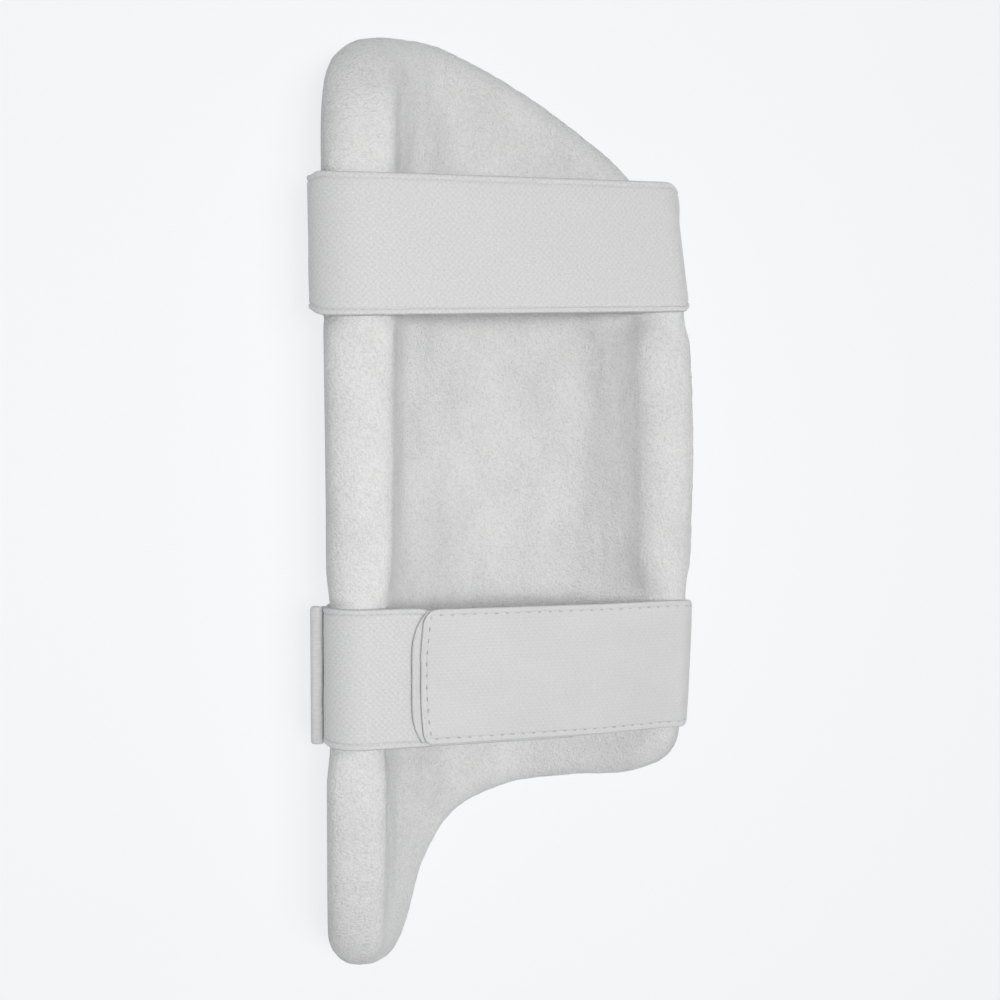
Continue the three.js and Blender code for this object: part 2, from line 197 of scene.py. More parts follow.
# The elastic: the groove inside its border has a width and a depth, the roll has a start, an end and a
# ramp, and the cockle is a row like those of the towelling
ELASTIC_THICKNESS = 2.2
UPPER_WIDTH = 60.0
LOWER_WIDTH = 60.5
ELASTIC_END_X = 22.0
ELASTIC_END_STEPS = 40
ELASTIC_COCKLE = (13, 21, 21, 0.12)
COCKLE_REACH = (2, 9)
SELVEDGE = 2.7
SELVEDGE_EDGES = (0, 0.12, 0.35, 0.7, 1.1, 1.5, 1.9, 2.25, 2.5, 2.7, 2.9, 3.15, 3.5, 4.0, 4.8, 6.0, 8.0)
SELVEDGE_GROOVE = (0.42, 0.45)
SELVEDGE_ROLL = 0.16
SELVEDGE_ROLL_REACH = (0.7, 1.9, 0.7)
UNDER_TAB = 1.6
UNDER_TAB_REACH = (-1, 9)

# The tab: narrower than the elastic at its lower and upper border, with a groove under its stitching, a
# cushion by reach and height, and a cockle
TAB_THICKNESS = 1.8
TAB_WIDTH = 58.6
TAB_NARROWER = (1.6, 0.3)
TAB_END_X = -51.0
TAB_SETTLES_X = ELASTIC_END_X + 3
TAB_CORNER = 4.5
TAB_TOP_CORNER = 1.5 * TAB_CORNER
TAB_BOW = 1.3
TAB_BOW_REACH = 30
TAB_STEPS = 62
TAB_EDGES = (0, 0.1, 0.3, 0.6, 0.95, 1.4, 1.9, 2.3, 2.6, 2.85, 3.1, 3.4, 3.8, 4.5, 5.5, 7.0, 9.0)
TAB_GROOVE = (0.5, 0.32)
TAB_CUSHION = (12, 0.18)
TAB_COCKLE = (19, 27, 31, 0.1)
TAB_STITCH_INSET = 2.6
TAB_STITCH_BOW = 1.2
TAB_STITCH_PLACES = 25

# The hook patch
PATCH_THICKNESS = 1.2
PATCH_WIDTH = 57.6
PATCH_INSET = 0.5
PATCH_LENGTH = 44.0
PATCH_CURL = 0.5
PATCH_CURL_REACH = (-3.2, -0.6)
PATCH_EDGES = (0, 0.1, 0.3, 0.6, 1.0, 1.6, 3.0)
PATCH_PARTS = 40
PATCH_STATIONS = (0, 0.1, 0.3, 0.6, 1.0, 1.6, 2.4, 3.4, 5.0, 9.0, 16.0, 26.0, 34.0, 39.0, 41.0)

# The patch's bowed edge: how far it stands out from the tab, and for each border how far it draws back
# and over which part of the width
PATCH_STANDS_OUT = 3.7
PATCH_BOW_POWER = 3.2
PATCH_TOP = {"back": 7.6, "from": 0.08}
PATCH_BOTTOM = {"back": 4.8, "from": 0.14}

# The folded end of webbing on the left outer face
ANCHOR_ANGLES = (44.0, 71.5)
ANCHOR_THICKNESS = 6.2
ANCHOR_LIFT = 0.2
ANCHOR_NOSE = 3.2
ANCHOR_SEWN_GAP = 0.05
ANCHOR_Y = -76.0
ANCHOR_WIDTH = 61.0
ANCHOR_LAYER = 2.1
ANCHOR_TAPER = 7.0
ANCHOR_TAPER_FROM = -2
ANCHOR_STEPS = {"layer": 13, "fold": 17}
ANCHOR_EDGES = (0, 0.15, 0.4, 0.8, 1.3, 2.2, 4.0)
ANCHOR_PARTS = 20

# Thread
THREAD_RADIUS = 0.33
THREAD_LENGTH = 2.2
THREAD_RISE = 0.12
THREAD_DIP = 0.5
THREAD_ARCH = 0.6
THREAD_RINGS = 7
THREAD_SIDES = 6
STITCH_PITCH = 5.0
SEAM_PITCH = 4.4
BOX_INSET = 4.5
BOX_ENDS = (4.0, 22.0)

# The camera of the photograph
CAMERA_YAW = 19.2
CAMERA_PITCH = 2.0
CAMERA_DISTANCE = 578.0
CAMERA_TARGET = (1.3, 0.0, 37.5)
CAMERA_ANGLE = 45.0

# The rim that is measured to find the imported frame: columns and rows, rings
SHIFT_GRID = (40, 80)
SHIFT_RINGS = 40

# The studio, in metres and watts. Softboxes: name, place, target, size, power
FLOOR_REACH = 6.0
FLOOR_DROP = 0.0005
FLOOR_GLOW = (0.96, 0.975, 1.0, 1)
FLOOR_GLOW_STRENGTH = 0.77
WORLD_STRENGTH = 0.205
SOFTBOXES = [
    ("overhead", (0.0, 0.02, 1.3), (0, 0, 0.04), 0.4, 4.3),
    ("front", (-0.16, 0.02, 0.8), (0, 0, 0.04), 0.15, 2.1),
    ("right", (1.0, 0.0, 0.6), (0, 0, 0.04), 0.8, 1.4),
    ("waist", (0.0, 0.9, 1.0), (0, 0.2, 0.04), 0.8, 0.75),
    ("knee", (0.0, -0.9, 1.0), (0, -0.2, 0.04), 0.8, 0.75),
]


def lerp(a, b, t):
    return a + (b - a) * t


def smoothstep(x, low, high):
    t = np.clip((x - low) / (high - low), 0, 1)
    return t * t * (3 - 2 * t)


def window(y, low, high, ramp):
    """1 between low and high, falling to 0 over ramp on both sides."""
    return smoothstep(y, low - ramp, low) * (1 - smoothstep(y, high, high + ramp))


def summed(steps):
    """The running sum of some steps, from 0."""
    return np.concatenate([[0], np.cumsum(steps)])


def soft_noise(x, y, cell_x, cell_y, seed):
    """Smooth noise from -1 to 1 that turns about once in a cell."""
    size = NOISE_CELLS
    lattice = np.random.default_rng(seed).uniform(-1, 1, (size, size))
    u = x / cell_x + size / 2
    v = y / cell_y + size / 2
    i = np.floor(u).astype(int)
    j = np.floor(v).astype(int)
    a = smoothstep(u - i, 0, 1)
    b = smoothstep(v - j, 0, 1)
    near = lerp(lattice[i % size, j % size], lattice[(i + 1) % size, j % size], a)
    far = lerp(lattice[i % size, (j + 1) % size], lattice[(i + 1) % size, (j + 1) % size], a)
    return lerp(near, far, b)


def relief(x, y, row):
    """Noise by a row of two cells, seed and height."""
    *noise, height = row
    return height * soft_noise(x, y, *noise)


# The pad's wall

def full_wall(y):
    waist = lerp(HALF_WALL["middle"], HALF_WALL["waist"], np.clip(y / PAD_END["waist"], 0, 1))
    knee = lerp(HALF_WALL["middle"], HALF_WALL["knee"], np.clip(y / PAD_END["knee"], 0, 1))
    return np.where(np.asarray(y) > 0, waist, knee)


def half_wall(s, y):
    depth = 0
    for edge, low, high, deep, ramp in SQUEEZES:
        inward = np.abs(EDGE[edge] - s)
        depth = depth + deep * window(y, low, high, ramp) * (1 - smoothstep(inward, *SQUEEZE_REACH))
    return full_wall(y) - depth


def middle_radius(y):
    return BEND_RADIUS + np.maximum(HALF_WALL["middle"] - full_wall(y), 0)


def bend(s, y, n):
    """Places points of the flat pattern. The outer face is pressed flat where the pad lies."""
    angle = s / BEND_RADIUS
    radius = middle_radius(y)
    wall = full_wall(y)
    below = (radius + wall) * np.cos(angle) - AXIS_HEIGHT
    blended = np.maximum(below + REST_BLEND, 0) ** 2 / (4 * REST_BLEND)
    flattened = np.where(below > REST_BLEND, below, blended)
    pressed = flattened * np.clip((wall - n) / (2 * wall), 0, 1)
    height = AXIS_HEIGHT - (radius - n) * np.cos(angle) + pressed
    return np.stack([(radius - n) * np.sin(angle), y + 0 * s, np.maximum(height, LOWEST)], -1)


def outline_at(t):
    """Points of the closed centripetal curve through OUTLINE, with t counted in its rows."""
    knots = np.array(sum(OUTLINE.values(), []), float)
    first = np.floor(t).astype(int)
    part = (t - first)[:, None]
    a, b, c, d = (knots[(first + k) % len(knots)] for k in (-1, 0, 1, 2))
    ab, bc, cd = (np.linalg.norm(q - p, axis=1)[:, None] ** 0.5 for p, q in ((a, b), (b, c), (c, d)))
    start = ((b - a) / ab - (c - a) / (ab + bc) + (c - b) / bc) * bc
    end = ((c - b) / bc - (d - b) / (bc + cd) + (d - c) / cd) * bc
    square = -3 * b + 3 * c - 2 * start - end
    cube = 2 * b - 2 * c + start + end
    return b + start * part + square * part**2 + cube * part**3


def outline_tangent(t):
    step = 1e-4
    along = outline_at(t + step) - outline_at(t - step)
    return along / np.linalg.norm(along, axis=1)[:, None]


def sample_side(side, steps):
    """Places along one side of the outline, closer together where it turns."""
    names = [name for name, rows in OUTLINE.items() for _ in rows]
    first = names.index(side)
    t = np.linspace(first, first + len(OUTLINE[side]), OUTLINE_SAMPLES)
    points = outline_at(t)
    tangents = outline_tangent(t)
    turn = np.linalg.norm(np.diff(tangents, axis=0), axis=1)
    length = summed(np.linalg.norm(np.diff(points, axis=0), axis=1) + TURN_WEIGHT * turn)
    return np.interp(np.linspace(0, length[-1], steps + 1)[:-1], length, t)


def evened(rows, passes):
    """Evens out a grid between its edges without folding it, by the elliptic grid equations."""
    for _ in range(passes):
        down = (rows[2:, 1:-1] - rows[:-2, 1:-1]) / 2
        across = (rows[1:-1, 2:] - rows[1:-1, :-2]) / 2
        cross = (rows[2:, 2:] - rows[2:, :-2] - rows[:-2, 2:] + rows[:-2, :-2]) / 4
        a = (down**2).sum(-1, keepdims=True)
        b = (down * across).sum(-1, keepdims=True)
        c = (across**2).sum(-1, keepdims=True)
        beside = rows[1:-1, 2:] + rows[1:-1, :-2]
        above_below = rows[2:, 1:-1] + rows[:-2, 1:-1]
        rows[1:-1, 1:-1] = (a * beside + c * above_below - 2 * b * cross) / (2 * (a + c))
    return rows


def refined(rows, step):
    """Rows with step times as many intervals, joined by smooth curves."""
    part = np.arange(step).reshape(1, step, *[1] * (rows.ndim - 1)) / step
    longer = np.concatenate([2 * rows[:1] - rows[1:2], rows, 2 * rows[-1:] - rows[-2:-1]])
    a, b, c, d = (longer[k : len(longer) - 3 + k, None] for k in range(4))
    square = a - 2.5 * b + 2 * c - 0.5 * d
    cube = 1.5 * (b - c) + 0.5 * (d - a)
    between = b + 0.5 * (c - a) * part + square * part**2 + cube * part**3
    return np.concatenate([between.reshape(-1, *rows.shape[1:]), rows[-1:]])


def rounded_square(angle, power):
    """Shares of the way outwards and of the half wall, on a curve between a circle and a square."""
    out = np.sin(angle) ** (2 / power)
    up = np.sign(np.cos(angle)) * np.abs(np.cos(angle)) ** (2 / power)
    return out, up


def refined_grid(grid, step):
    """A grid with step times as many intervals in both directions."""
    return refined(refined(grid, step).swapaxes(0, 1), step).swapaxes(0, 1)


class Rim:
    """The edge of the flat pattern: points of the outline, the way inwards and the wall there."""

    def __init__(self, columns, rows):
        steps = {"waist": columns, "right": rows, "knee": columns, "left": rows}
        t = np.concatenate([sample_side(side, count) for side, count in steps.items()])
        point = outline_at(t)
        tangent = outline_tangent(t)
        self.columns = columns
        self.rows = rows
        self.s, self.y = point.T
        self.in_s = tangent[:, 1]
        self.in_y = -tangent[:, 0]
        self.full = full_wall(self.y)
        self.inner = np.stack([self.s + self.in_s * self.full, self.y + self.in_y * self.full], -1)
        self.half = half_wall(*self.inner.T)
        self.along = summed(np.linalg.norm(np.diff(point, axis=0), axis=1))
        self.power = self.squareness()

    def squareness(self):
        power = np.full(len(self.s), RIM_POWER["end"])
        power = lerp(power, RIM_POWER["left"], smoothstep(self.in_s, *SIDE_TURN))
        power = lerp(power, RIM_POWER["right"], smoothstep(-self.in_s, *SIDE_TURN))
        for edge, low, high in ROUNDED_BY_STRAPS:
            near = window(self.y, low, high, ROUNDED_RAMP) * (np.sign(self.s) == np.sign(EDGE[edge]))
            power = lerp(power, RIM_POWER["strap"], near)
        return power

    def profile(self, degrees):
        """The rounded square at an angle round the rim, evenly spaced along it."""
        dense = np.linspace(0, math.pi, PROFILE_STEPS)
        powers = np.linspace(min(RIM_POWER.values()), max(RIM_POWER.values()), PROFILE_POWERS)
        table = []
        for power in powers:
            length = summed(np.hypot(*np.diff(rounded_square(dense, power))))
            table.append(np.interp(degrees / 180 * length[-1], length, dense))
        return rounded_square(np.interp(self.power, powers, table), self.power)

    def flat(self, degrees):
        """The unrolled pattern at an angle round the rim."""
        way = self.full * math.radians(degrees)
        return np.stack([self.inner[:, 0] - self.in_s * way, self.inner[:, 1] - self.in_y * way], -1)

    def ring(self, degrees, inset):
        """A ring round the rim: 0 degrees is on the inner face, 180 on the outer face."""
        out, up = self.profile(degrees)
        inward = self.full - (self.full - inset) * out
        return bend(self.s + self.in_s * inward, self.y + self.in_y * inward, (self.half - inset) * up)

    def every(self, step):
        """The same rim with only each step-th of its points."""
        coarse = copy.copy(self)
        coarse.columns = self.columns // step
        coarse.rows = self.rows // step
        for name in ("s", "y", "in_s", "in_y", "full", "inner", "half", "along", "power"):
            setattr(coarse, name, getattr(self, name)[::step])
        return coarse

    def four_sides(self):
        c, r = self.columns, self.rows
        loop = np.concatenate([self.inner, self.inner[:1]])
        waist = loop[: c + 1]
        right = loop[c : c + r + 1]
        knee = loop[c + r : 2 * c + r + 1][::-1]
        left = loop[2 * c + r :][::-1]
        return waist, right, knee, left

    def grid(self):
        """The flat pattern inside the rim as rows of points, evened out between its four sides."""
        step = COARSE_STEP
        waist, right, knee, left = (side[::step] for side in self.four_sides())
        u = np.linspace(0, 1, len(waist))[None, :, None]
        v = np.linspace(0, 1, len(left))[:, None, None]
        rows = waist[None] * (1 - v) + knee[None] * v + left[:, None] * (1 - u) + right[:, None] * u
        rows = rows - (waist[0] * (1 - u) * (1 - v) + waist[-1] * u * (1 - v))
        rows = rows - (knee[0] * (1 - u) * v + knee[-1] * u * v)
        rows = evened(rows, COARSE_PASSES)
        rows = refined_grid(rows, step)
        rows[0], rows[:, -1], rows[-1], rows[:, 0] = self.four_sides()
        return evened(rows, FINE_PASSES)


class Pattern:
    """The flat pattern: its rim and the grid of points inside."""

    def __init__(self, rim, grid):
        self.rim = rim
        self.grid = grid
        self.s, self.y = np.moveaxis(grid, -1, 0)
        self.half = half_wall(self.s, self.y)

    def every(self, step):
        return Pattern(self.rim.every(step), self.grid[::step, ::step])

    def face(self, n):
        """The bent face at a height over the middle of the wall."""
        return bend(self.s, self.y, n)


# Meshes

class Skin:
    """Points of one piece, its faces, and each point's place on the flat cloth.

    A place is the distance across, the distance along, and the distance from an edge.
    """

    def __init__(self):
        self.points = []
        self.flats = []
        self.faces = []
        self.count = 0

    def add(self, points, flat):
        shape = points.shape[:-1]
        ids = self.count + np.arange(int(np.prod(shape))).reshape(shape)
        place = np.zeros((*shape, 3))
        place[..., : np.shape(flat)[-1]] = flat
        self.points.append(points.reshape(-1, 3))
        self.flats.append(place.reshape(-1, 3))
        self.count += ids.size
        return ids

    def join(self, *corners):
        self.faces.append(np.stack([np.ravel(c) for c in corners], -1))

    def face_grid(self, ids, flipped):
        corners = [ids[:-1, :-1], ids[1:, :-1], ids[1:, 1:], ids[:-1, 1:]]
        self.join(*(corners[::-1] if flipped else corners))

    def bridge(self, above, below):
        """Joins two loops, where the second has as many points as the first or a quarter of them."""
        if len(above) == len(below):
            self.join(above, np.roll(above, -1), np.roll(below, -1), below)
            return
        step = len(above) // len(below)
        fine = [np.roll(above, -k)[::step] for k in range(step + 1)]
        after = np.roll(below, -1)
        middle = step // 2
        for k in range(step):
            self.join(fine[k], fine[k + 1], below if k < middle else after)
        self.join(fine[middle], after, below)

    def closed(self, front, rings, back):
        """A solid from a front face, rings round its edge and a back face, each points and flat places."""
        front_ids = self.add(*front)
        ring_ids = [self.add(*ring) for ring in rings]
        back_ids = self.add(*back)
        self.face_grid(front_ids, False)
        self.face_grid(back_ids, True)
        loops = [border(front_ids), *ring_ids, border(back_ids)]
        for above, below in zip(loops, loops[1:]):
            self.bridge(above, below)
        return self

    def piece(self, name, material):
        points = np.concatenate(self.points)
        faces = [list(map(int, face)) for group in self.faces for face in group]
        mesh = bpy.data.meshes.new(name)
        mesh.from_pydata(((points + SHIFT) * MM).tolist(), [], faces)
        flat = mesh.attributes.new("flat", "FLOAT_VECTOR", "POINT")
        flat.data.foreach_set("vector", np.concatenate(self.flats).astype(np.float32).ravel())
        mesh.polygons.foreach_set("use_smooth", np.ones(len(mesh.polygons), bool))
        mesh.update()
        if signed_volume(mesh) < 0:
            mesh.flip_normals()
        if material:
            mesh.materials.append(material)
        obj = bpy.data.objects.new(name, mesh)
        bpy.context.scene.collection.objects.link(obj)
        return obj


def border(ids):
    return np.concatenate([ids[0, :-1], ids[:-1, -1], ids[-1, :0:-1], ids[:0:-1, 0]])


def signed_volume(mesh):
    mesh.calc_loop_triangles()
    corners = np.empty(len(mesh.loop_triangles) * 3, np.int32)
    mesh.loop_triangles.foreach_get("vertices", corners)
    a, b, c = mesh_vectors(mesh, "co")[corners.reshape(-1, 3)].transpose(1, 0, 2)
    return float(np.einsum("ij,ij->", a, np.cross(b, c)))


# The pad

def strap_cover(s, y, face="inside"):
    """1 under a strap, on the inside or outside of the pad."""
    held = 0 * s
    for edge, low, high in ROUNDED_BY_STRAPS:
        near = window(y, low, high, STRAP_RAMP) * smoothstep(np.sign(EDGE[edge]) * s, *STRAP_REACH[face])
        held = np.maximum(held, near)
    return held


class Swelling:
    """How far the padding swells between the straps, the seam and the strip that it lies on."""

    def __init__(self, pattern):
        coarse = pattern.every(SWELL_STEP)
        rim = coarse.rim
        angles = np.arange(SWELL_TURN, 180, SWELL_TURN)
        rings = [(rim.ring(degrees, 0.0), rim.flat(degrees)) for degrees in angles]
        back = (coarse.face(-coarse.half), coarse.grid)
        form = Skin().closed((coarse.face(coarse.half), coarse.grid), rings, back)
        rests = 1 - smoothstep(np.abs(coarse.s), *REST_STRIP)
        held = [strap_cover(coarse.s, coarse.y)]
        held += [np.where(degrees == SEAM_ANGLE, 1, strap_cover(rim.s, rim.y)) for degrees in angles]
        held += [np.maximum(strap_cover(coarse.s, coarse.y, "outside"), rests)]
        held = np.concatenate([part.ravel() for part in held])
        swell = simulated_swell(form, held)
        front, loops, back = np.split(swell, [coarse.s.size, len(swell) - coarse.s.size])
        self.front = front.reshape(coarse.s.shape)
        self.back = back.reshape(coarse.s.shape)
        loops = loops.reshape(len(angles), -1)
        self.loops = refined(np.stack([border(self.front), *loops, border(self.back)]), SWELL_TURN)

    def on_face(self, face, step):
        """The swelling over the front or back, for every step-th point of the lining's grid."""
        return refined_grid(face, SWELL_STEP)[::step, ::step]

    def on_ring(self, degrees, step):
        low = min(int(degrees), 179)
        loop = lerp(self.loops[low], self.loops[low + 1], degrees - low)
        return refined(np.append(loop, loop[0]), SWELL_STEP)[:-1:step]


def simulated_swell(form, held):
    """Blows up a closed form as cloth and returns how far each point moves outwards, in millimetres."""
    scene = bpy.context.scene
    obj = form.piece("swelling", None)
    group = obj.vertex_groups.new(name="held")
    for index, weight in enumerate(held.tolist()):
        group.add([index], weight, "REPLACE")
    modifier = obj.modifiers.new("swelling", "CLOTH")
    cloth = modifier.settings
    cloth.vertex_group_mass = group.name
    cloth.use_pressure = True
    cloth.uniform_pressure_force = SWELL_PRESSURE
    cloth.effector_weights.gravity = 0
    modifier.collision_settings.use_collision = False
    modifier.point_cache.frame_start = 1
    modifier.point_cache.frame_end = SWELL_FRAMES
    for frame in range(1, SWELL_FRAMES + 1):
        scene.frame_set(frame)
    swollen = obj.evaluated_get(bpy.context.evaluated_depsgraph_get())
    start, normal = (mesh_vectors(obj.data, field) for field in ("co", "normal"))
    moved = (mesh_vectors(swollen.to_mesh(), "co") - start) / MM
    swollen.to_mesh_clear()
    mesh = obj.data
    bpy.data.objects.remove(obj)
    bpy.data.meshes.remove(mesh)
    scene.frame_set(1)
    outwards = np.einsum("ij,ij->i", moved, normal)
    capped = outwards * min(1.0, SWELL_LIMIT / np.abs(outwards).max())
    return capped - SWELL_START * (1 - held)


def mesh_vectors(mesh, field):
    values = np.empty(len(mesh.vertices) * 3, np.float32)
    mesh.vertices.foreach_get(field, values)
    return values.reshape(-1, 3).astype(float)


def terry(flat):
    """Height of the towelling's tufts and soft waves, in millimetres."""
    s, y = flat[..., 0], flat[..., 1]
    tufts, *waves = TERRY
    height = relief(s + relief(s, y, TERRY_DRIFT), y, tufts)
    for wave in waves:
        height = height + relief(s, y, wave)
    return height * lerp(1, TERRY_UNDER_STRAP, strap_cover(s, y))


def towelling_lining(pattern, swelling, material):
    rim = pattern.rim
    front = pattern.face(pattern.half + terry(pattern.grid) + swelling.on_face(swelling.front, 1))
    rings = []
    for degrees in np.linspace(0, SEAM_ANGLE, LINING_RINGS + 1)[1:]:
        flat = rim.flat(degrees)
        settle = 1 - smoothstep(degrees, SEAM_ANGLE - SETTLE_ANGLE, SEAM_ANGLE)
        raised = terry(flat) * settle + swelling.on_ring(degrees, 1)
        from_seam = np.broadcast_to(rim.full * math.radians(SEAM_ANGLE - degrees), rim.s.shape)
        rings.append((rim.ring(degrees, -raised), np.column_stack([flat, from_seam])))
    for turned, inset in LINING_HEM:
        rings.append((rim.ring(SEAM_ANGLE + turned, inset), rim.flat(SEAM_ANGLE)))
    hidden = pattern.every(HIDDEN_STEP)
    for degrees in np.linspace(SEAM_ANGLE, 0, HIDDEN_RINGS + 1)[:-1]:
        inset = LINING_THICKNESS - swelling.on_ring(degrees, HIDDEN_STEP)
        rings.append((hidden.rim.ring(degrees, inset), hidden.rim.flat(degrees)))
    under = hidden.half - LINING_THICKNESS + swelling.on_face(swelling.front, HIDDEN_STEP)
    far = np.dstack([pattern.grid, np.full(pattern.s.shape, FAR_FROM_SEAM)])
    skin = Skin().closed((front, far), rings, (hidden.face(under), hidden.grid))
    return skin.piece("towelling", material)


def seam_pucker(rim, degrees):
    """How far the seam's thread draws the cover in, fading away from the seam."""
    tucks = (PUCKER[-1] + relief(rim.along, 0 * rim.along, PUCKER)) / 2
    return tucks * (1 - smoothstep(degrees, *PUCKER_REACH))


def pad_cover(pattern, swelling, material):
    pattern = pattern.every(COVER_STEP)
    rim = pattern.rim
    lined = LINING_THICKNESS + COVER_GAP
    front = pattern.face(pattern.half - lined + swelling.on_face(swelling.front, COVER_STEP))
    rings = []
    for degrees in np.linspace(0, COVER_INNER_ANGLE, COVER_INNER_RINGS)[1:]:
        inset = lined - swelling.on_ring(degrees, COVER_STEP)
        rings.append((rim.ring(degrees, inset), rim.flat(degrees)))
    turned, inset = COVER_TUCK
    rings.append((rim.ring(SEAM_ANGLE + turned, inset), rim.flat(SEAM_ANGLE)))
    for turned, inset in COVER_RINGS:
        degrees = SEAM_ANGLE + turned
        drawn_in = inset + seam_pucker(rim, turned) - swelling.on_ring(degrees, COVER_STEP)
        rings.append((rim.ring(degrees, drawn_in), rim.flat(degrees)))
    waves = relief(pattern.s, pattern.y, COVER_WAVES)
    back = pattern.face(-pattern.half + waves - swelling.on_face(swelling.back, COVER_STEP))
    skin = Skin().closed((front, pattern.grid), rings, (back, pattern.grid))
    return skin.piece("pad_cover", material)


def seam_stitching(pattern, swelling, material):
    """The topstitching that runs round the cover beside the seam."""
    degrees = SEAM_ANGLE + SEAM_STITCH
    swell = swelling.on_ring(degrees, 1)
    path = pattern.rim.ring(degrees, SEAM_SINK - swell)
    up = pattern.rim.ring(degrees, SEAM_SINK - 1 - swell) - path
    thread = Thread()
    thread.row(np.concatenate([path, path[:1]]), np.concatenate([up, up[:1]]), SEAM_PITCH)
    return thread.piece("seam_stitching", material)


# The straps, in a cross-section of the pad: x across, z up

def polar(centre, angle, radius):
    return np.stack([centre[0] + radius * np.cos(angle), centre[1] + radius * np.sin(angle)], -1)


class Turn:
    """Where a strap turns over one rim, in the cross-section at the height y of part w of its width."""

    def __init__(self, strap, side, w):
        end = strap[side]
        self.end = end
        self.side = side
        self.climb = lerp(*end["climb"], w + 0.5)
        self.y = lerp(end["low"], end["high"], w + 0.5)
        edge = lerp(*end["edge"], w + 0.5)
        self.full = float(full_wall(self.y))
        self.half = float(half_wall(EDGE[side], self.y))
        self.s = edge - math.copysign(self.full, edge)
        self.angle = self.s / BEND_RADIUS
        self.centre = polar(AXIS, self.angle - math.pi / 2, float(middle_radius(self.y)))
        self.outwards = self.angle - math.pi / 2 + (2 * math.pi if self.s < 0 else 0)

    def radius(self, angle):
        """Distance to the strap over the oval that the squeezed rim makes."""
        turned = angle - self.outwards
        return RIM_CLEARANCE + 1 / np.hypot(np.cos(turned) / self.half, np.sin(turned) / self.full)

    def line(self, top, lift):
        """From the sewn end on the outer face to the top of the rim."""
        part = np.arange(STRAP_STEPS["wall"]) / STRAP_STEPS["wall"]
        angle = lerp(math.copysign(math.radians(END_ANGLE), self.s), self.angle, part)
        clearance = lerp(WALL_CLEARANCE, RIM_CLEARANCE + self.end["bulge"], smoothstep(part, *BULGE_REACH))
        wall = half_wall(angle * BEND_RADIUS, np.full_like(angle, self.y))
        outside = polar(AXIS, angle - math.pi / 2, middle_radius(self.y) + wall + clearance + lift)
        part = np.linspace(0, 1, STRAP_STEPS["rim"] + 1)
        bulge = self.end["bulge"] * (1 - smoothstep(part, *BULGE_REACH))
        angle = lerp(self.outwards, top, part)
        over = polar(self.centre, angle, self.radius(angle) + bulge + lift)
        return np.concatenate([outside, over])


def strap_line(strap, w, lift):
    """A strap's whole line at part w of its width, -0.5 to 0.5, lifted over the pad."""
    left = Turn(strap, "left", w)
    right = Turn(strap, "right", w)
    across = right.centre - left.centre
    slope = math.atan2(across[1], across[0])
    up = slope + math.pi / 2
    top = slope + math.acos((left.radius(up) - right.radius(up)) / math.hypot(*across))
    left_line = left.line(top, lift)
    right_line = right.line(top, lift)[::-1]
    part = np.arange(1, STRAP_STEPS["span"])[:, None] / STRAP_STEPS["span"]
    line = np.concatenate([left_line, lerp(left_line[-1], right_line[0], part), right_line])
    x, z = line.T
    y = left.y + (right.y - left.y) * (x - left.centre[0]) / across[0]
    ends = np.arange(len(line)) < len(left_line), np.arange(len(line)) >= len(line) - len(right_line)
    for turn, end in zip((left, right), ends):
        down = (z[end].max() - z) * end
        y = y + turn.climb * down
        y = y - 2 * w * turn.end["pinch"][int(w > 0)] * smoothstep(down, *PINCH_REACH[turn.side])
    return np.stack([x, y, z], -1)


def on_span(line, x):
    """Points of a strap's line between its two rims, at places x across."""
    span = line[SPAN_START : SPAN_START + STRAP_STEPS["span"] + 1]
    return np.stack([np.interp(x, span[:, 0], span[:, k]) for k in range(3)], -1)


def narrowed(strap, low, high):
    """A strap with both borders brought in."""
    return {
        side: {**end, "low": end["low"] + low, "high": end["high"] - high} for side, end in strap.items()
    }


def across_parts(width, edges, middle):
    """Parts of a width, -0.5 to 0.5, with steps at the given distances from both borders."""
    edges = np.array(edges) / width
    inside = np.linspace(edges[-1], 1 - edges[-1], middle)
    return np.concatenate([edges[:-1], inside, 1 - edges[-2::-1]]) - 0.5


def lengths_along(lines):
    steps = np.linalg.norm(np.diff(lines, axis=1), axis=2)
    return np.concatenate([np.zeros((len(lines), 1)), np.cumsum(steps, axis=1)], axis=1)


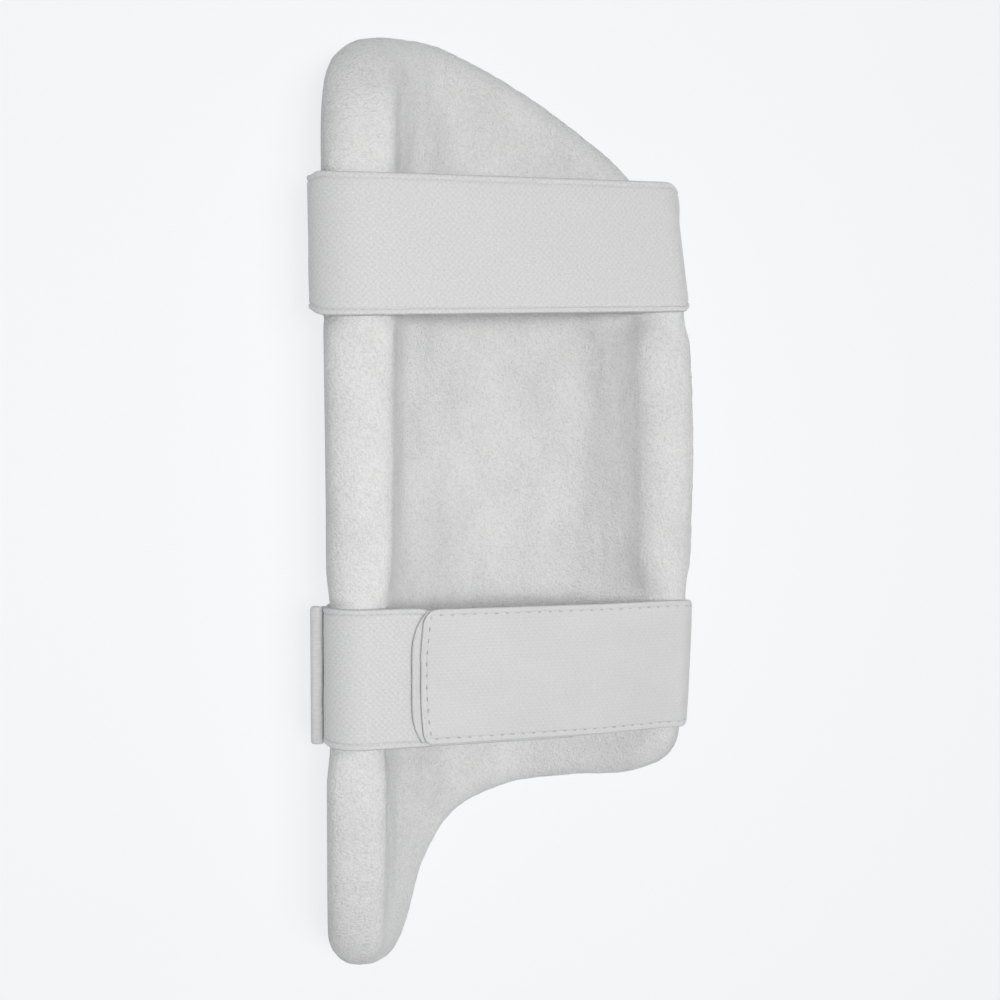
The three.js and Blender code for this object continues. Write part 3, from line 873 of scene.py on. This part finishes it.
class Band:
    """A strip of cloth: a base surface, the way up from it, and the distance to its borders and ends."""

    def __init__(self, line_at, parts, width):
        self.parts = parts
        self.width = width
        self.base = np.stack([line_at(w, 0.0) for w in parts])
        up = np.stack([line_at(w, 1.0) for w in parts]) - self.base
        self.up = up / np.linalg.norm(up, axis=2)[..., None]
        self.along = lengths_along(self.base)
        self.from_border = np.broadcast_to((0.5 - np.abs(parts))[:, None] * width, self.along.shape)
        self.from_start = self.along
        self.from_end = self.along[:, -1:] - self.along
        self.edge = np.minimum(self.from_border, np.minimum(self.from_start, self.from_end))
        self.flat = np.stack([np.broadcast_to(parts[:, None] * width, self.along.shape), self.along], -1)

    def rounded(self, distance, thickness):
        """1 inside the cloth, falling in a curve to a blunt edge."""
        reach = np.clip(distance / (thickness / 2), 0, 1)
        return np.sqrt(1 - BLUNT_EDGE * (1 - reach) ** 2)

    def skin(self, name, material, thickness, raised=0.0, lift=0.0):
        """A closed piece, lifted over the base and raised on its upper face."""
        round_half = thickness / 2 * self.rounded(self.edge, thickness)
        middle = lift + thickness / 2
        self.face = self.base + self.up * (middle + round_half + raised)[..., None]
        back = self.base + self.up * (middle - round_half)[..., None]
        flat = np.dstack([self.flat, self.edge])
        return Skin().closed((self.face, flat), [], (back, flat)).piece(name, material)

    def row(self, places):
        """Points on the upper face and the ways up, for a line of places across and along the band."""
        across, along = np.array(places, float).T
        middle = self.along[len(self.parts) // 2]
        part = np.interp(across / self.width, self.parts, np.arange(len(self.parts)))
        station = np.interp(along, middle, np.arange(len(middle)))
        i = np.minimum(part.astype(int), len(self.parts) - 2)
        j = np.minimum(station.astype(int), len(middle) - 2)
        a, b = (part - i)[:, None], (station - j)[:, None]
        found = []
        for grid in (self.face, self.up):
            before = lerp(grid[i, j], grid[i + 1, j], a)
            after = lerp(grid[i, j + 1], grid[i + 1, j + 1], a)
            found.append(lerp(before, after, b))
        return found


class Thread(Skin):
    """Stitches in rows on cloth, as one mesh."""

    def row(self, path, up, pitch):
        along = lengths_along(path[None])[0]
        count = max(int(along[-1] / pitch), 1)
        for k in range(count):
            self.stitch(path, up, along, (k + 0.5) / count * along[-1])

    def stitch(self, path, up, along, middle):
        """One stitch, arched over the cloth with both ends in it."""
        places = middle + np.linspace(-0.5, 0.5, THREAD_RINGS) * THREAD_LENGTH
        line, top = (np.stack([np.interp(places, along, c) for c in v.T], -1) for v in (path, up))
        arch = np.sin(np.linspace(0, math.pi, THREAD_RINGS)) ** THREAD_ARCH
        line = line + top * lerp(-THREAD_DIP, THREAD_RISE, arch)[:, None]
        side = np.cross(np.gradient(line, axis=0), top)
        side = side / np.linalg.norm(side, axis=1)[:, None]
        turn = np.linspace(0, 2 * math.pi, THREAD_SIDES, endpoint=False)[None, :, None]
        tube = line[:, None] + THREAD_RADIUS * (np.cos(turn) * top[:, None] + np.sin(turn) * side[:, None])
        round_about = np.broadcast_to(turn[..., 0] * THREAD_RADIUS, tube.shape[:2])
        ids = self.add(tube, np.dstack([round_about, np.broadcast_to(places[:, None], tube.shape[:2])]))
        after = np.roll(ids, -1, axis=1)
        self.join(ids[:-1], ids[1:], after[1:], after[:-1])
        self.faces += [ids[:1, ::-1], ids[-1:]]


def dense(corners):
    """The straight lines through some corners as places about a millimetre apart."""
    places = []
    for a, b in zip(np.array(corners, float), np.array(corners[1:], float)):
        steps = max(int(np.linalg.norm(b - a)), 1)
        places += [lerp(a, b, k / steps) for k in range(steps)]
    return places + [corners[-1]]


def box_stitching(thread, band, start, end):
    """The sewn end of a strap: a box with a cross in it."""
    side = band.width / 2 - BOX_INSET
    corners = [(-side, start), (side, start), (side, end), (-side, end), (-side, start)]
    for line in (corners, [corners[0], corners[2]], [corners[1], corners[3]]):
        thread.row(*band.row(dense(line)), STITCH_PITCH)


def groove(distance, at, width, depth):
    return -depth * np.exp(-(((distance - at) / width) ** 2))


def elastic_relief(band):
    """The rolled border of woven elastic, and a slight cockle over its whole face."""
    rolled = groove(band.from_border, SELVEDGE, *SELVEDGE_GROOVE)
    rolled = rolled + SELVEDGE_ROLL * window(band.from_border, *SELVEDGE_ROLL_REACH)
    cockle = relief(band.flat[..., 0], band.flat[..., 1], ELASTIC_COCKLE)
    return rolled + cockle * smoothstep(band.from_border, *COCKLE_REACH)


def elastic_strap(name, line_at, width, material):
    band = Band(line_at, across_parts(width, SELVEDGE_EDGES, MIDDLE_PARTS), width)
    return band.skin(name, material, ELASTIC_THICKNESS, elastic_relief(band)), band


def upper_strap(material):
    def line_at(w, lift):
        return strap_line(UPPER, w, lift)

    return elastic_strap("upper_elastic", line_at, UPPER_WIDTH, material)


def lower_strap(material):
    def cut(w, lift):
        line = strap_line(LOWER, w, lift)
        head = line[: SPAN_START + 1]
        x = np.linspace(head[-1, 0], ELASTIC_END_X, ELASTIC_END_STEPS)[1:]
        flat = on_span(line, x)
        flat[:, 1] -= (w + 0.5) * UNDER_TAB * smoothstep(x - TAB_END_X, *UNDER_TAB_REACH)
        return np.concatenate([head, flat])

    return elastic_strap("lower_elastic", cut, LOWER_WIDTH, material)


TAB_STRAP = narrowed(LOWER, *TAB_NARROWER)
PATCH_STRAP = narrowed(TAB_STRAP, PATCH_INSET, PATCH_INSET)
TAB_LIFT = ELASTIC_THICKNESS + PATCH_THICKNESS + 2 * GAP


def tab_line(w, lift):
    line = strap_line(TAB_STRAP, w, lift)
    right = line[SPAN_START + STRAP_STEPS["span"] :]
    rim_x = right[0, 0]
    edges = TAB_END_X + np.array(TAB_EDGES)
    x = np.concatenate([edges, np.linspace(edges[-1], rim_x, TAB_STEPS)[1:-1]])
    radius = TAB_TOP_CORNER if w > 0 else TAB_CORNER
    from_end = np.minimum(x - TAB_END_X, radius)
    x = x + TAB_BOW * np.abs(2 * w) ** 3 * (1 - smoothstep(x - TAB_END_X, 0, TAB_BOW_REACH))
    y, z = on_span(line, x)[:, 1:].T
    z = z + TAB_LIFT * (1 - smoothstep(x, TAB_SETTLES_X, rim_x))
    y = y - 2 * w * (radius - np.sqrt(from_end * (2 * radius - from_end)))
    return np.concatenate([np.stack([x, y, z], -1), right])


def fastening_tab(material):
    band = Band(tab_line, across_parts(TAB_WIDTH, TAB_EDGES, MIDDLE_PARTS), TAB_WIDTH)
    inner = np.minimum(band.from_border, band.from_start)
    reach, height = TAB_CUSHION
    raised = groove(inner, TAB_STITCH_INSET, *TAB_GROOVE)
    raised = raised + height * smoothstep(inner, TAB_STITCH_INSET, reach)
    raised = raised + relief(band.flat[..., 0], band.flat[..., 1], TAB_COCKLE)
    return band.skin("tab_webbing", material, TAB_THICKNESS, raised), band


def tab_stitching(tab, material):
    """A row round the tab, and the sewn end that it comes from."""
    side = tab.width / 2 - TAB_STITCH_INSET
    end = float(tab.along[:, -1].min()) - BOX_ENDS[1] - STITCH_PITCH
    across = np.linspace(-side, side, TAB_STITCH_PLACES)
    bow = list(zip(across, TAB_STITCH_INSET + TAB_STITCH_BOW * (across / side) ** 2))
    thread = Thread()
    thread.row(*tab.row(dense([(-side, end), *bow, (side, end)])), STITCH_PITCH)
    box_stitching(thread, tab, *(end + STITCH_PITCH + BOX_ENDS[1] - d for d in BOX_ENDS))
    return thread.piece("tab_stitching", material)


def strap_stitching(upper, lower, anchor, material):
    thread = Thread()
    box_stitching(thread, upper, *BOX_ENDS)
    box_stitching(thread, lower, *BOX_ENDS)
    for band in (upper, anchor):
        length = float(band.along[:, -1].min())
        box_stitching(thread, band, *(length - d for d in BOX_ENDS))
    return thread.piece("strap_stitching", material)


def patch_edge(w):
    """How far the patch's bowed edge stands from the end of the tab."""
    stands = -PATCH_STANDS_OUT
    for border, place in ((PATCH_TOP, w), (PATCH_BOTTOM, -w)):
        share = np.clip((place - border["from"]) / (0.5 - border["from"]), 0, 1)
        stands = stands + border["back"] * share**PATCH_BOW_POWER
    return stands


def hook_patch(material):
    stations = np.array(PATCH_STATIONS)

    def line_at(w, lift):
        line = strap_line(PATCH_STRAP, w, ELASTIC_THICKNESS + GAP + lift)
        x = lerp(TAB_END_X + patch_edge(w), TAB_END_X + PATCH_LENGTH, stations / stations[-1])
        return on_span(line, x)

    band = Band(line_at, across_parts(PATCH_WIDTH, PATCH_EDGES, PATCH_PARTS), PATCH_WIDTH)
    curl = PATCH_CURL * (1 - smoothstep(band.base[..., 0] - TAB_END_X, *PATCH_CURL_REACH))
    return band.skin("hook_tape", material, PATCH_THICKNESS, lift=curl), band


def strap_anchor(material):
    """A webbing end folded back on itself, with the fold towards the rim."""
    low, high = np.radians(ANCHOR_ANGLES)
    outer_radius = BEND_RADIUS + HALF_WALL["middle"]
    nose = (ANCHOR_THICKNESS - ANCHOR_LAYER) / 2
    run = (high - low) * outer_radius - ANCHOR_THICKNESS / 2
    turn = np.linspace(-math.pi / 2, math.pi / 2, ANCHOR_STEPS["fold"])
    ones = np.ones(ANCHOR_STEPS["layer"])
    way = np.concatenate([-ones, np.sin(turn), ones])
    tip = np.concatenate([0 * ones, np.cos(turn), 0 * ones])
    blunt = np.abs(np.cos(turn)) ** (2 / ANCHOR_NOSE)
    up = np.linspace(0, run, ANCHOR_STEPS["layer"] + 1)[:-1]
    upper = 2 * lerp(ANCHOR_LAYER / 2 + ANCHOR_SEWN_GAP, nose, smoothstep(up, 0, run)) - nose
    middle_climb = np.concatenate([up, run + nose * blunt, up[::-1]])
    middle_rise = np.concatenate([-nose * ones, nose * np.sin(turn), upper[::-1]])
    middle_rise = middle_rise + ANCHOR_LIFT * smoothstep(middle_climb, 0, run)

    def line_at(w, lift):
        y = ANCHOR_Y + w * ANCHOR_WIDTH
        wall = float(middle_radius(y)) + float(half_wall(-high * BEND_RADIUS, y))
        ground = wall + WALL_CLEARANCE + ELASTIC_THICKNESS + GAP
        climb = middle_climb + tip * (lift - ANCHOR_LAYER / 2)
        rise = middle_rise + way * (lift - ANCHOR_LAYER / 2)
        angle = -(low + climb / outer_radius) - math.pi / 2
        point = polar(AXIS, angle, ground + ANCHOR_THICKNESS / 2 + rise)
        drawn_in = 2 * w * ANCHOR_TAPER * smoothstep(run - climb, ANCHOR_TAPER_FROM, run)
        return np.stack([point[:, 0], y - drawn_in, point[:, 1]], -1)

    band = Band(line_at, across_parts(ANCHOR_WIDTH, ANCHOR_EDGES, ANCHOR_PARTS), ANCHOR_WIDTH)
    return band.skin("anchor_webbing", material, ANCHOR_LAYER), band


# Materials

class Nodes:
    """A material's node tree, with short ways to add and link nodes."""

    def __init__(self, name):
        self.material = bpy.data.materials.new(name)
        self.material.use_nodes = True
        self.tree = self.material.node_tree
        self.shader = self.tree.nodes["Principled BSDF"]

    def add(self, kind, **settings):
        node = self.tree.nodes.new("ShaderNode" + kind)
        for name, value in settings.items():
            setattr(node, name, value)
        return node

    def link(self, source, target):
        self.tree.links.new(source, target)

    def place(self):
        """The place on the flat cloth: across, along and from an edge."""
        return self.add("Attribute", attribute_name="flat").outputs["Vector"]

    def part(self, vector, axis):
        split = self.add("SeparateXYZ")
        self.link(vector, split.inputs["Vector"])
        return split.outputs[axis]

    def near_edge(self, reach):
        """1 at an edge of the cloth, 0 from reach millimetres in."""
        return self.at_distance(0.0, reach)

    def at_distance(self, distance, reach):
        """1 on a line round the cloth at a distance from its edge, 0 from reach on either side."""
        off = self.maths("ABSOLUTE", self.maths("SUBTRACT", self.part(self.place(), "Z"), distance))
        return self.maths("MAXIMUM", self.maths("SUBTRACT", 1.0, self.maths("DIVIDE", off, reach)), 0.0)

    def flat(self, scale):
        """The place on the flat cloth, times a scale for each direction."""
        mapping = self.add("Mapping")
        mapping.inputs["Scale"].default_value = (*scale, 0.0)
        self.link(self.place(), mapping.inputs["Vector"])
        return mapping.outputs["Vector"]

    def noise(self, scale, detail=2.0, distortion=0.0):
        node = self.add("TexNoise")
        node.inputs["Scale"].default_value = 1.0
        node.inputs["Detail"].default_value = detail
        node.inputs["Distortion"].default_value = distortion
        self.link(self.flat(scale), node.inputs["Vector"])
        return node.outputs["Fac"]

    def loops(self, size, smooth):
        """Rounded heaps like the loops of towelling: the distance from their tops."""
        node = self.add("TexVoronoi", voronoi_dimensions="2D", feature="SMOOTH_F1")
        node.inputs["Scale"].default_value = 1.0
        node.inputs["Smoothness"].default_value = smooth
        self.link(self.flat((1 / size[0], 1 / size[1])), node.inputs["Vector"])
        return node.outputs["Distance"]

    def wave(self, axis, pitch):
        """A sine along one direction of the flat cloth, with its pitch in millimetres."""
        turn = 2 * math.pi / pitch
        return self.maths("SINE", self.part(self.flat((turn, turn)), axis))

    def maths(self, operation, *values):
        node = self.add("Math", operation=operation)
        for socket, value in zip(node.inputs, values):
            if isinstance(value, (int, float)):
                socket.default_value = value
            else:
                self.link(value, socket)
        return node.outputs[0]

    def weave(self, pitch_across, pitch_along):
        """Threads that pass over and under in turn, from 0 to 1."""
        crossing = self.maths("MULTIPLY", self.wave("X", pitch_across), self.wave("Y", pitch_along))
        return self.maths("MULTIPLY_ADD", crossing, 0.5, 0.5)

    def mixed(self, *parts):
        """The sum of some heights or tones, each with its share."""
        total = None
        for value, share in parts:
            part = self.maths("MULTIPLY", value, share)
            total = part if total is None else self.maths("ADD", total, part)
        return total

    def ramp(self, factor, *stops):
        """Greys by a factor, as rows of place and grey."""
        node = self.add("ValToRGB")
        elements = node.color_ramp.elements
        while len(elements) < len(stops):
            elements.new(0.5)
        for element, (place, grey) in zip(elements, stops):
            element.position = place
            element.color = (grey, grey, grey, 1)
        self.link(factor, node.inputs["Fac"])
        return node.outputs["Color"]

    def colour(self, socket):
        self.link(socket, self.shader.inputs["Base Color"])

    def bump(self, height, distance, strength):
        """Adds relief from a height that is 1 for distance millimetres."""
        node = self.add("Bump")
        node.inputs["Distance"].default_value = distance * MM
        node.inputs["Strength"].default_value = strength
        self.link(height, node.inputs["Height"])
        self.link(node.outputs["Normal"], self.shader.inputs["Normal"])

    def finish(self, roughness, sheen):
        self.shader.inputs["Roughness"].default_value = roughness
        self.shader.inputs["Specular IOR Level"].default_value = 0.2
        self.shader.inputs["Sheen Weight"].default_value = sheen
        self.shader.inputs["Sheen Roughness"].default_value = 0.5
        return self.material


def towelling_material():
    nodes = Nodes("towelling")
    # The loops also darken the tone in the pits between them: painted shade. Their height is real relief.
    loops = nodes.loops((1.2, 1.1), 0.6)
    tufts = nodes.noise((0.42, 0.4), 3.0, 0.8)
    fibre = nodes.noise((2.0, 1.7), 2.0)
    patches = nodes.noise((0.04, 0.03), 2.0)
    # seam darkens the towelling over the last 21 mm before the seam, on the outer side of each rim and the
    # hem: painted shade of the rims' sides.
    seam = nodes.near_edge(21.0)
    height = nodes.mixed((loops, -0.7), (tufts, 0.8), (fibre, 0.7))
    tone = nodes.mixed((loops, -0.25), (tufts, 0.3), (fibre, 0.5), (patches, 0.35), (seam, -0.18))
    nodes.colour(nodes.ramp(tone, (0.24, 0.68), (0.58, 0.87)))
    nodes.bump(height, 0.8, 0.75)
    return nodes.finish(0.95, 0.1)


def cover_material():
    nodes = Nodes("cover")
    weave = nodes.weave(1.0, 1.0)
    slubs = nodes.noise((0.9, 0.12), 2.0)
    patches = nodes.noise((0.03, 0.02), 2.0)
    tone = nodes.mixed((slubs, 0.4), (patches, 0.4), (weave, 0.2))
    nodes.colour(nodes.ramp(tone, (0.3, 0.69), (0.7, 0.77)))
    nodes.bump(nodes.mixed((weave, 0.8), (slubs, 0.4)), 0.22, 0.6)
    return nodes.finish(0.8, 0.1)


def elastic_material():
    nodes = Nodes("elastic")
    weave = nodes.weave(2.7, 2.8)
    cords = nodes.wave("X", 1.35)
    fibre = nodes.noise((1.3, 1.0), 3.0)
    # edge darkens the elastic within 0.7 mm of its borders and ends: painted shade of the cut edge.
    edge = nodes.near_edge(0.7)
    # line darkens the elastic along the groove inside each border: painted shade in the groove.
    line = nodes.at_distance(SELVEDGE, 0.7)
    height = nodes.mixed((weave, 0.45), (cords, 0.12), (fibre, 0.7))
    tone = nodes.mixed((weave, 0.13), (fibre, 0.87), (edge, -0.6), (line, -0.2))
    nodes.colour(nodes.ramp(tone, (0.0, 0.55), (0.3, 0.645), (0.7, 0.77)))
    nodes.bump(height, 0.32, 0.6)
    return nodes.finish(0.85, 0.1)


def webbing_material():
    nodes = Nodes("webbing")
    weave = nodes.weave(2.9, 2.3)
    cords = nodes.wave("X", 1.45)
    fibre = nodes.noise((1.3, 0.7), 3.0)
    patches = nodes.noise((0.05, 0.03), 2.0)
    # edge darkens the webbing within 0.6 mm of its borders and ends: painted shade along the edges of the
    # tab and the folded end.
    edge = nodes.near_edge(0.6)
    tone = nodes.mixed((weave, 0.1), (cords, 0.04), (fibre, 0.55), (patches, 0.35), (edge, -0.45))
    nodes.colour(nodes.ramp(tone, (0.0, 0.6), (0.3, 0.645), (0.7, 0.73)))
    nodes.bump(nodes.mixed((weave, 0.3), (cords, 0.15), (fibre, 0.5)), 0.2, 0.5)
    return nodes.finish(0.7, 0.05)


def hook_material():
    nodes = Nodes("hook")
    hooks = nodes.weave(1.6, 1.6)
    fibre = nodes.noise((0.8, 0.8), 2.0)
    # edge darkens the hook tape within 0.9 mm of its edges: painted shade along the patch's outline.
    edge = nodes.near_edge(0.9)
    tone = nodes.mixed((hooks, 0.2), (fibre, 0.8), (edge, -0.8))
    nodes.colour(nodes.ramp(tone, (0.0, 0.56), (0.3, 0.68), (0.7, 0.73)))
    nodes.bump(hooks, 0.3, 0.5)
    return nodes.finish(0.75, 0.05)


def thread_material():
    nodes = Nodes("thread")
    twist = nodes.mixed((nodes.wave("Y", 0.6), 0.5), (nodes.wave("X", 0.6), 0.5))
    fibre = nodes.noise((0.4, 0.4), 2.0)
    # The thread's grey, darker than the cloth it is sewn into, is painted shade of the stitch holes.
    nodes.colour(nodes.ramp(fibre, (0.3, 0.48), (0.7, 0.6)))
    nodes.bump(twist, 0.1, 0.5)
    return nodes.finish(0.7, 0.05)


# The stage

def floor():
    mesh = bpy.data.meshes.new("floor")
    corners = [(x * FLOOR_REACH, y * FLOOR_REACH, 0) for x, y in ((-1, -1), (1, -1), (1, 1), (-1, 1))]
    mesh.from_pydata(corners, [], [(0, 1, 2, 3)])
    nodes = Nodes("floor")
    nodes.colour(nodes.ramp(nodes.noise((2.0, 2.0)), (0.3, 0.195), (0.7, 0.205)))
    nodes.shader.inputs["Emission Color"].default_value = FLOOR_GLOW
    nodes.shader.inputs["Emission Strength"].default_value = FLOOR_GLOW_STRENGTH
    mesh.materials.append(nodes.finish(0.9, 0.0))
    obj = bpy.data.objects.new("floor", mesh)
    obj.location.z = -FLOOR_DROP
    bpy.context.scene.collection.objects.link(obj)


def softbox(name, place, target, size, power):
    light = bpy.data.lights.new(name, "AREA")
    light.shape = "DISK"
    light.size = size
    light.energy = power
    obj = bpy.data.objects.new(name, light)
    obj.location = place
    obj.rotation_euler = (Vector(target) - Vector(place)).to_track_quat("-Z", "Y").to_euler()
    bpy.context.scene.collection.objects.link(obj)


def studio():
    world = bpy.data.worlds.new("studio")
    world.use_nodes = True
    world.node_tree.nodes["Background"].inputs["Color"].default_value = (1.0, 1.0, 1.0, 1)
    world.node_tree.nodes["Background"].inputs["Strength"].default_value = WORLD_STRENGTH
    bpy.context.scene.world = world
    bpy.context.scene.view_settings.view_transform = "Standard"
    for row in SOFTBOXES:
        softbox(*row)


def photo_camera():
    yaw, pitch = math.radians(CAMERA_YAW), math.radians(CAMERA_PITCH)
    back = Vector((-math.sin(yaw) * math.cos(pitch), math.sin(pitch), math.cos(yaw) * math.cos(pitch)))
    right = Vector((math.cos(yaw), 0, math.sin(yaw)))
    up = back.cross(right)
    data = bpy.data.cameras.new("photo")
    data.angle = math.radians(CAMERA_ANGLE)
    data.clip_start = 0.01
    data.clip_end = 100
    obj = bpy.data.objects.new("photo", data)
    turn = Matrix((right, up, back)).transposed().to_4x4()
    place = (Vector(CAMERA_TARGET) + back * CAMERA_DISTANCE + Vector(SHIFT)) * MM
    obj.matrix_world = Matrix.Translation(place) @ turn
    bpy.context.scene.collection.objects.link(obj)
    bpy.context.scene.camera = obj


# The pattern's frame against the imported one: the middle of the lining's box

def frame_shift():
    rim = Rim(*SHIFT_GRID)
    points = np.concatenate([rim.ring(angle, 0.0) for angle in np.linspace(0, SEAM_ANGLE, SHIFT_RINGS)])
    low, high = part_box("towelling_lining")
    own = (points.min(0) + points.max(0)) / 2
    cad = np.array((low + high) / 2) / MM
    return np.array([cad[0] - own[0], cad[1] - own[1], 0.0])


SHIFT = frame_shift()


def sew_on(piece):
    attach(piece, "root")
    return piece


def dress(piece, node):
    sew_on(piece)
    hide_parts(node)


def declare_lining(pattern):
    """The towelling is cut as the pattern with its turn round the rim."""
    cut = pattern.rim.flat(SEAM_ANGLE)


def main():
    photo_camera()
    studio()
    floor()
    webbing = webbing_material()
    elastic = elastic_material()
    thread = thread_material()
    rim = Rim(*LINING_GRID)
    pattern = Pattern(rim, rim.grid())
    swelling = Swelling(pattern)
    cover = pad_cover(pattern, swelling, cover_material())
    lining = towelling_lining(pattern, swelling, towelling_material())
    upper, upper_band = upper_strap(elastic)
    lower, lower_band = lower_strap(elastic)
    tab, tab_band = fastening_tab(webbing)
    patch, patch_band = hook_patch(hook_material())
    anchor, anchor_band = strap_anchor(webbing)
    sew_on(seam_stitching(pattern, swelling, thread))
    sew_on(strap_stitching(upper_band, lower_band, anchor_band, thread))
    tab_seams = sew_on(tab_stitching(tab_band, thread))
    dress(cover, "pad_shell")
    dress(lining, "towelling_lining")
    dress(upper, "upper_strap")
    dress(lower, "lower_strap")
    dress(tab, "fastening_tab")
    dress(patch, "hook_patch")
    dress(anchor, "strap_anchor")
    declare_lining(pattern)


main()
